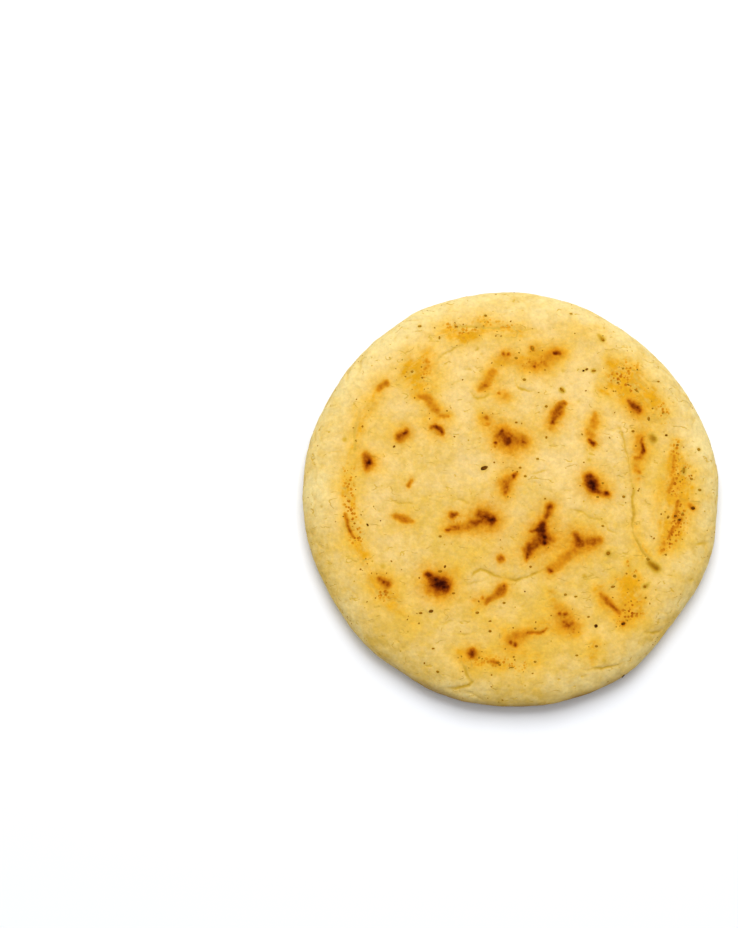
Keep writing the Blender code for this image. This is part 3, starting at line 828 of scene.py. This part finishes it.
def bruised_and_crease_shaded(tree, where, colour, folds, specks):
    """The dough with painted shade in its fine folds and creases, and its smudges and the husk too fine to be
    a fleck.
    """
    # Painted shade in the fine folds and in the pressed creases, darkest where the creases are deepest.
    fold_shade = maths(tree, "MULTIPLY", folds, 0.35)
    crease_shade = maths(tree, "MULTIPLY", field(tree, "hollow"), 0.58)
    bruise_and_shade = maths(tree, "MAXIMUM", maths(tree, "MAXIMUM", fold_shade, crease_shade), field(tree, "smudge"))
    husk = use_group(tree, specks, Where=where, Cell_Size=2.3 * MM, Share=0.3, Dot_Size=0.12)["Mask"]
    bruise_and_shade = maths(tree, "MAXIMUM", bruise_and_shade, maths(tree, "MULTIPLY", husk, 0.5))
    return blend_colours(tree, spread(tree, bruise_and_shade, 0.0, 0.4), colour, colour_steps(tree, bruise_and_shade, BRUISE_AND_CREASE_SHADE))


def griddle_heat(tree, where, heat_below, specks):
    """Scorches and single grains toasted in the gold, mottled and with their edges broken."""
    from_above = stretched(tree, where, 1.0, 1.0, 0.0)
    toasted = use_group(tree, specks, Where=from_above, Cell_Size=0.8 * MM, Share=0.8, Dot_Size=0.62)["Mask"]
    dotted = maths(tree, "MULTIPLY", toasted, maths(tree, "MULTIPLY", field(tree, "grainy"), 0.6))
    heat = maths(tree, "MAXIMUM", field(tree, "scorch"), maths(tree, "MAXIMUM", heat_below, dotted))
    ragged = soft_noise(tree, where, 1.2 * MM, detail=4.0, roughness=0.55)
    return maths(tree, "MULTIPLY", heat, spread(tree, ragged, 0.3, 0.7, 0.84, 1.11), clamp=True)


def make_dough_material(grit, specks, hairlines):
    material, tree, surface, where = start_material("toasted_maize_dough")
    grains = use_group(tree, grit, Where=where, Grain_Size=0.9 * MM)
    across = stretched(tree, where, 0.6, 1.0)
    folds = use_group(tree, hairlines, Where=across, Spacing=4.5 * MM, Width=0.022, Share=0.5)["Mask"]
    heat_below, gold_below = underside_toast(tree, where)
    colour = gilded(tree, where, plain_dough(tree, where), gold_below)
    colour = bruised_and_crease_shaded(tree, where, colour, folds, specks)
    heat = griddle_heat(tree, where, heat_below, specks)
    colour = blend_colours(tree, spread(tree, heat, 0.0, 0.34), colour, colour_steps(tree, heat, TOAST))
    tone = spread(tree, grains["Tone"], 0.3, 0.7, 0.93, 1.06)
    mottle = spread(tree, soft_noise(tree, where, 2.6 * MM, detail=3.0), 0.34, 0.66, 0.95, 1.04)
    colour = blend_colours(tree, 1.0, colour, maths(tree, "MULTIPLY", tone, mottle), way="MULTIPLY")
    # Painted shade darkens the lower side at the front.
    colour = blend_colours(tree, field(tree, "painted_front_shade"), colour, PAINTED_FOOT_SHADE, way="MULTIPLY")
    rough = maths(tree, "MULTIPLY_ADD", heat, 0.12, spread(tree, grains["Tone"], 0.3, 0.7, 0.52, 0.7))
    set_inputs(tree, surface, Base_Color=colour, Roughness=rough, Specular_IOR_Level=0.02)
    set_inputs(tree, surface, Subsurface_Weight=0.08, Subsurface_Radius=(1.0, 0.5, 0.18))
    set_inputs(tree, surface, Subsurface_Scale=0.9 * MM)
    heights = maths(tree, "MULTIPLY", grains["Height"], 0.12 * MM)
    add_bump(tree, surface, maths(tree, "MULTIPLY_ADD", folds, -0.08 * MM, heights))
    return material


def make_crumb_material(name, grit, pale, dark):
    """Burnt crumb or bran: two colours that change from fleck to fleck, under the same grain."""
    material, tree, surface, where = start_material(name)
    grains = use_group(tree, grit, Where=where, Grain_Size=0.3 * MM)
    kinds = spread(tree, soft_noise(tree, where, 2.5 * MM), 0.4, 0.6)
    tone = spread(tree, grains["Tone"], 0.3, 0.7, 0.8, 1.2)
    colour = blend_colours(tree, 1.0, blend_colours(tree, kinds, pale, dark), tone, way="MULTIPLY")
    set_inputs(tree, surface, Base_Color=colour, Roughness=0.75, Specular_IOR_Level=0.02)
    add_bump(tree, surface, maths(tree, "MULTIPLY", grains["Height"], 0.05 * MM))
    return material


def make_floor_material():
    material = bpy.data.materials.new("pale_floor")
    material.use_nodes = True
    tree = material.node_tree
    surface = tree.nodes["Principled BSDF"]
    set_inputs(tree, surface, Base_Color=(0.86, 0.88, 0.92, 1.0), Roughness=0.8, Specular_IOR_Level=0.1)
    return material


# ---------------------------------------------------------------- the folds too many to place by hand
FACE_REACH = 53.0  # the face's radius, in millimetres
RIM_REACH = 54.5  # the rim's middle radius, which turns an angle into a length round the cake
TAPER = 0.45  # what is left of a crease's depth at its two ends


def tapered(stroke):
    """The stroke with its two ends made faint."""
    ends = (0, len(stroke) - 1)
    return [(*dab[:3], dab[3] * (TAPER if place in ends else 1.0)) for place, dab in enumerate(stroke)]


def crease_strokes():
    """The listed creases, as strokes whose strength is their depth."""
    return [tapered([(x, y, radius, depth) for x, y in points]) for radius, depth, points in CREASES]


def wandering_fold(chance, x, y, heading, steps, stride, sway):
    """A short line that sways as it goes."""
    radius = chance.uniform(0.24, 0.36)
    depth = chance.uniform(0.1, 0.38)
    stroke = []
    for _ in range(steps):
        stroke.append((x, y, radius, depth))
        heading += chance.gauss(0.0, sway)
        x += stride * math.cos(heading)
        y += stride * math.sin(heading)
    return tapered(stroke)


def anywhere_on_face(chance):
    """A place on the face, as its angle, x and y."""
    around = chance.uniform(0.0, 2.0 * math.pi)
    reach = FACE_REACH * math.sqrt(chance.random())
    return around, reach * math.cos(around), reach * math.sin(around)


def face_folds(count=330, seed=21):
    """Fine folds all over the face: half run across it, the others round it."""
    chance = random.Random(seed)
    strokes = []
    for _ in range(count):
        around, x, y = anywhere_on_face(chance)
        heading = chance.gauss(0.0, 0.5)
        if chance.random() < 0.5:
            heading += around + math.pi / 2
        steps = chance.randint(3, 6)
        strokes.append(wandering_fold(chance, x, y, heading, steps, chance.uniform(0.6, 1.3), 0.26))
    return strokes


def rim_folds(count=260, seed=22):
    """Fine folds round the side, as strokes in length round the cake and height."""
    chance = random.Random(seed)
    half_turn = math.pi * RIM_REACH
    strokes = []
    for _ in range(count):
        x = chance.uniform(-half_turn, half_turn)
        y = chance.uniform(1.5, 10.5)
        heading = chance.gauss(0.0, 0.22)
        steps = chance.randint(3, 7)
        strokes.append(wandering_fold(chance, x, y, heading, steps, chance.uniform(0.8, 1.6), 0.25))
    return strokes


def pits(count=260, seed=23):
    """Pinholes all over the face, as single dabs."""
    chance = random.Random(seed)
    found = []
    for _ in range(count):
        _, x, y = anywhere_on_face(chance)
        found.append([(x, y, chance.uniform(0.25, 0.5), chance.uniform(0.15, 0.5))])
    return found


# ---------------------------------------------------------------- the skin of the cake
# How the outlines of scorches, gold and creases wander, as swings (size, amount, draw).
SCORCH_SWINGS = ((2.4 * MM, 0.35 * MM, 3.0), (1.0 * MM, 0.22 * MM, 9.0))
GOLD_SWINGS = ((7.0 * MM, 1.2 * MM, 5.0), (2.0 * MM, 0.6 * MM, 15.0))
CREASE_SWINGS = ((3.0 * MM, 0.5 * MM, 5.0), (0.9 * MM, 0.18 * MM, 7.0))

SKIN_CELL = 0.48 * MM
UNDERSIDE_SHARE = 0.12  # how much of the flat underside's mesh is kept
CREASE_DEPTH = 0.4 * MM
CORE_WIDTH = 1.35  # a burnt core's width beside the brush that set it
GLOW_WIDTH = 1.8  # the same for the glow round a scorch
GLOW_MARGIN = 0.6  # how much further the glow reaches, in millimetres
GLOW_HEAT = 0.52  # the glow's heat beside the scorch's
GLOW_MOST = 0.6  # what no pile of glows exceeds
GOLD_WIDTH = 1.3  # a golden wash's width beside the brush's
CORE_BRUSH = 2.2  # the firmness of the brushes for the cores, the glows, the gold and the toasted grains
GLOW_BRUSH = 1.6
GOLD_BRUSH = 1.8
GRAIN_BRUSH = 2.4
FINE_CREASE = 0.16  # how deep a crease is, and how hot a scorch, where the mesh is cut finer
FINE_SCORCH = 0.3
STAIN = 0.36  # how dark the stain under a speck is
STAIN_WIDTH = 0.38  # its radius beside the speck's length and width together


def copy_of_solid():
    """A copy of the solid with its loose triangles merged, then rounded off."""
    solid = frame["nodes"]["arepa"]
    skin = solid.copy()
    skin.data = solid.data.copy()
    skin.name = "arepa_skin"
    skin.parent = None
    del skin["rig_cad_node"]
    bpy.context.scene.collection.objects.link(skin)
    pick(skin)
    bpy.ops.object.mode_set(mode="EDIT")
    bpy.ops.mesh.select_all(action="SELECT")
    bpy.ops.mesh.remove_doubles(threshold=0.01 * MM)
    bpy.ops.mesh.tris_convert_to_quads()
    bpy.ops.object.mode_set(mode="OBJECT")
    finish_modifier(skin, "SUBSURF", levels=2, render_levels=2)
    return skin


def even_cells(skin):
    """Cuts the skin into even small cells that lie on the rounded shape."""
    rounded = skin.copy()
    rounded.data = skin.data.copy()
    bpy.context.scene.collection.objects.link(rounded)
    pick(skin)
    finish_modifier(skin, "REMESH", mode="VOXEL", voxel_size=SKIN_CELL)
    finish_modifier(skin, "SHRINKWRAP", target=rounded, wrap_method="NEAREST_SURFACEPOINT")
    bpy.data.objects.remove(rounded)


def thin_underside(skin):
    """Fewer and larger cells on the flat underside, where nothing is pressed in."""
    select_faces(skin, places_of(skin)[:, 2] < 0.08 * MM)
    bpy.ops.mesh.decimate(ratio=UNDERSIDE_SHARE)
    bpy.ops.object.mode_set(mode="OBJECT")


def flat_places(places):
    """The places as the face's brushes see them, from above."""
    return places[:, :2]


def rim_places(places):
    """The places as the rim's brushes see them: length round the cake, and height."""
    around = np.arctan2(places[:, 1], places[:, 0])
    return np.column_stack((around * RIM_REACH * MM, places[:, 2]))


def outward_share(places):
    """0 in the middle of the cake and 1 at its widest."""
    return np.hypot(places[:, 0] / HALF_WIDTH, places[:, 1] / HALF_LENGTH)


def on_face(places):
    """1 on the face and 0 on the side and below, with a soft change at the shoulder."""
    return soft_step(places[:, 2] / THICKNESS, 0.45, 0.7)


def widened(strokes, width, margin=0.0, strength=1.0):
    """The strokes with every dab made wider, and fainter or stronger."""
    return [
        [(x, y, width * radius + margin, strength * cover) for x, y, radius, cover in stroke]
        for stroke in strokes
    ]


def scorch_field(places):
    """The burnt cores, and the orange glow that surrounds each of them."""
    ragged = flat_places(wander(places, SCORCH_SWINGS))
    core = hottest(ragged, widened(SCORCHES, CORE_WIDTH), CORE_BRUSH)
    glow = painted(ragged, widened(SCORCHES, GLOW_WIDTH, GLOW_MARGIN, GLOW_HEAT), GLOW_BRUSH)
    glow = GLOW_MOST * glow / (GLOW_MOST + glow)
    return np.minimum((core**3 + glow**3) ** (1 / 3), 1.0) * on_face(places)


def gold_field(places):
    """How golden the face is toasted."""
    rolling = flat_places(wander(places, GOLD_SWINGS))
    return painted(rolling, widened(GILDING, GOLD_WIDTH), GOLD_BRUSH) * on_face(places)


def stains():
    """The soft brown stain that every speck leaves in the dough under it."""
    specks = [*BURNT_CRUMBS, *BRAN_SPOTS]
    return [[(x, y, STAIN_WIDTH * (length + width), STAIN)] for x, y, length, width, *_ in specks]


def crease_field(places):
    """Creases, fine folds and pinholes: 0 on plain skin and 1 in the deepest crease."""
    swaying = flat_places(wander(places, CREASE_SWINGS))
    face = painted(swaying, [*crease_strokes(), *face_folds(), *pits()], SOFT)
    side = painted(rim_places(places), rim_folds(), SOFT)
    outer = soft_step(outward_share(places), 0.9, 0.95)
    return np.maximum(face * on_face(places), side * outer)


def refine_marks(skin):
    """Halves the cells where creases and scorches need a finer mesh."""
    places = places_of(skin)
    marked = (crease_field(places) > FINE_CREASE) | (scorch_field(places) > FINE_SCORCH)
    select_faces(skin, marked)
    bpy.ops.mesh.subdivide(number_cuts=1)
    bpy.ops.object.mode_set(mode="OBJECT")


def paint_fields(skin):
    """Keeps on the skin all that its material reads, and the weights that its relief follows."""
    places = places_of(skin)
    outward = outward_share(places)
    scorch = scorch_field(places)
    crease = crease_field(places)
    rim_line = outward + 0.05 * rolling_noise(places, 9.0 * MM, 2.0)
    keep_field(skin, "scorch", scorch)
    keep_field(skin, "gold", gold_field(places))
    smudges = [*SMUDGES, *stains()]
    brushed = {"grainy": (GRAINY, GRAIN_BRUSH), "pale": (PALE_PATCHES, SOFT), "smudge": (smudges, SOFT)}
    for name, (strokes, firmness) in brushed.items():
        keep_field(skin, name, painted(flat_places(places), strokes, firmness) * on_face(places))
    keep_field(skin, "rim", soft_step(rim_line, 0.78, 1.0))
    keep_field(skin, "hollow", crease)
    keep_field(skin, "underside", soft_step(-places[:, 2], -0.9 * MM, -0.2 * MM))
    # Painted shade on the lower side at the front, which faces away from the lamps: the share that the
    # material darkens.
    front = soft_step(-places[:, 1] / HALF_LENGTH, 0.6, 0.98)
    shade_line = places[:, 2] + 1.6 * MM * rolling_noise(places, 7.0 * MM, 4.0)
    keep_field(skin, "painted_front_shade", soft_step(-shade_line, -8.4 * MM, -4.0 * MM) * front)
    keep_weights(skin, "creases", crease)
    keep_weights(skin, "blisters", soft_step(scorch, 0.45, 0.9))
    keep_weights(skin, "upper", soft_step(places[:, 2], 0.8 * MM, 3.0 * MM))


# The lumps of the hand, the grain of the dough and the griddle's blisters: the size and the detail of their
# clouds, how high they stand, their middle level, and the weights that they follow.
RELIEF = {
    "lumps": (6.0 * MM, 2, 0.5 * MM, 0.5, "upper"),
    "grain": (1.6 * MM, 1, 0.12 * MM, 0.5, "upper"),
    "blisters": (1.1 * MM, 2, 0.15 * MM, 0.35, "blisters"),
}


def press_relief(skin):
    """Raises the relief, and presses the creases in."""
    pick(skin)
    for name, (size, detail, height, middle, weights) in RELIEF.items():
        clouds = bpy.data.textures.new(name, "CLOUDS")
        clouds.noise_scale = size
        clouds.noise_depth = detail
        cloudy = {"texture": clouds, "texture_coords": "LOCAL"}
        finish_modifier(skin, "DISPLACE", **cloudy, strength=height, mid_level=middle, vertex_group=weights)
    finish_modifier(skin, "DISPLACE", strength=-CREASE_DEPTH, mid_level=0.0, vertex_group="creases")


def make_skin():
    skin = copy_of_solid()
    even_cells(skin)
    thin_underside(skin)
    refine_marks(skin)
    paint_fields(skin)
    press_relief(skin)
    bpy.ops.object.shade_smooth()
    return skin


# ---------------------------------------------------------------- crumbs and flecks
CRUMB_SHAPES = 4  # crumbs modelled of each kind, which the copies share out


def model_crumb(seed, flatness, knocked):
    """One crumb a millimetre across: a small ball, flattened and knocked out of shape."""
    bpy.ops.mesh.primitive_ico_sphere_add(subdivisions=2, radius=0.5 * MM)
    crumb = bpy.context.object
    bpy.ops.object.mode_set(mode="EDIT")
    bpy.ops.mesh.select_all(action="SELECT")
    bpy.ops.transform.resize(value=(1.0, 1.0, flatness))
    bpy.ops.transform.vertex_random(offset=knocked * MM, seed=seed)
    bpy.ops.object.mode_set(mode="OBJECT")
    return crumb


def on_top(ground, x, y):
    """The place on the skin that is straight below this one on the plan."""
    return ground.ray_cast(Vector((x * MM, y * MM, 2 * THICKNESS)), Vector((0.0, 0.0, -1.0)))[0]


def lay_crumb(model, ground, place, length, width, turn=0.0):
    """A copy of the model with its own mesh, sized, turned and sunk to its middle in the skin."""
    point, normal, _, _ = ground.find_nearest(place)
    crumb = model.copy()
    crumb.data = model.data.copy()
    bpy.context.scene.collection.objects.link(crumb)
    lie = Vector((0.0, 0.0, 1.0)).rotation_difference(normal).to_matrix().to_4x4()
    size = Matrix.Diagonal((length, width, min(length, width), 1.0))
    crumb.data.transform(Matrix.Translation(point) @ lie @ Matrix.Rotation(math.radians(turn), 4, "Z") @ size)
    return crumb


def scattered_crumbs(count, seed, sizes, everywhere):
    """Crumbs strewn over the face, thickest where it is golden and none on the scorches.

    Each is (x, y, length, width, turn).
    """
    chance = random.Random(seed)
    strewn = []
    while len(strewn) < count:
        _, x, y = anywhere_on_face(chance)
        spot = np.array([[x, y]]) * MM
        golden = painted(spot, GILDING, 2.2)[0]
        burnt = hottest(spot, SCORCHES, 2.0)[0]
        length = chance.uniform(*sizes)
        width = length * chance.uniform(0.5, 0.95)
        turn = chance.uniform(0.0, 180.0)
        if burnt < 0.1 and chance.random() < everywhere + golden:
            strewn.append((x, y, length, width, turn))
    return strewn


def side_crumbs(count, seed, sizes):
    """Crumbs strewn round the side, as places in metres with their length, width and turn."""
    chance = random.Random(seed)
    strewn = []
    for _ in range(count):
        around = chance.uniform(0.0, 2.0 * math.pi)
        height = chance.uniform(2.0, 10.0) * MM
        place = Vector((math.cos(around) * HALF_WIDTH, math.sin(around) * HALF_LENGTH, height))
        length = chance.uniform(*sizes)
        strewn.append((place, length, length * chance.uniform(0.4, 0.9), chance.uniform(0.0, 180.0)))
    return strewn


def join_crumbs(name, ground, face_rows, side_rows, flatness, knocked):
    """All crumbs of a kind as one piece: a few modelled, then copied, laid and joined."""
    models = [model_crumb(seed, flatness, knocked) for seed in range(CRUMB_SHAPES)]
    rows = [(on_top(ground, x, y), *rest) for x, y, *rest in face_rows]
    laid = []
    for number, row in enumerate([*rows, *side_rows]):
        laid.append(lay_crumb(models[number % CRUMB_SHAPES], ground, *row))
    for model in models:
        bpy.data.objects.remove(model)
    bpy.ops.object.select_all(action="DESELECT")
    for crumb in laid:
        crumb.select_set(True)
    bpy.context.view_layer.objects.active = laid[0]
    bpy.ops.object.join()
    laid[0].name = name
    laid[0].data.name = name
    bpy.ops.object.shade_smooth()
    return laid[0]


def make_burnt_crumbs(ground):
    strewn = scattered_crumbs(count=8, seed=31, sizes=(0.3, 0.45), everywhere=0.04)
    rows = [*BURNT_CRUMBS, *strewn]
    return join_crumbs("burnt_crumbs", ground, rows, [SIDE_CRUMB], flatness=0.5, knocked=0.12)


def make_bran(ground):
    strewn = scattered_crumbs(count=190, seed=32, sizes=(0.3, 0.62), everywhere=0.06)
    around = side_crumbs(count=60, seed=33, sizes=(0.3, 0.6))
    return join_crumbs("bran", ground, [*BRAN_SPOTS, *strewn], around, flatness=0.3, knocked=0.1)


# ---------------------------------------------------------------- the scene
def add_floor():
    bpy.ops.mesh.primitive_plane_add(size=8.0, location=(0.0, 0.0, 0.0))
    floor = bpy.context.object
    floor.name = "floor"
    floor.data.materials.append(make_floor_material())


def finish_piece(piece, material):
    """Gives a piece its material and the body that it rides on."""
    piece.data.materials.clear()
    piece.data.materials.append(material)
    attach(piece, "root")


def main():
    add_camera()
    add_studio_light()
    add_floor()
    grit = make_grit_group()
    specks = make_speck_group()
    hairlines = make_hairline_group()

    skin = make_skin()
    finish_piece(skin, make_dough_material(grit, specks, hairlines))
    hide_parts("arepa")

    ground = BVHTree.FromObject(skin, bpy.context.evaluated_depsgraph_get())
    char = make_crumb_material("burnt_crumb", grit, CHAR_BROWN, CHAR_BLACK)
    finish_piece(make_burnt_crumbs(ground), char)
    bran = make_crumb_material("toasted_bran", grit, BRAN_BROWN, BRAN_OLIVE)
    finish_piece(make_bran(ground), bran)


main()
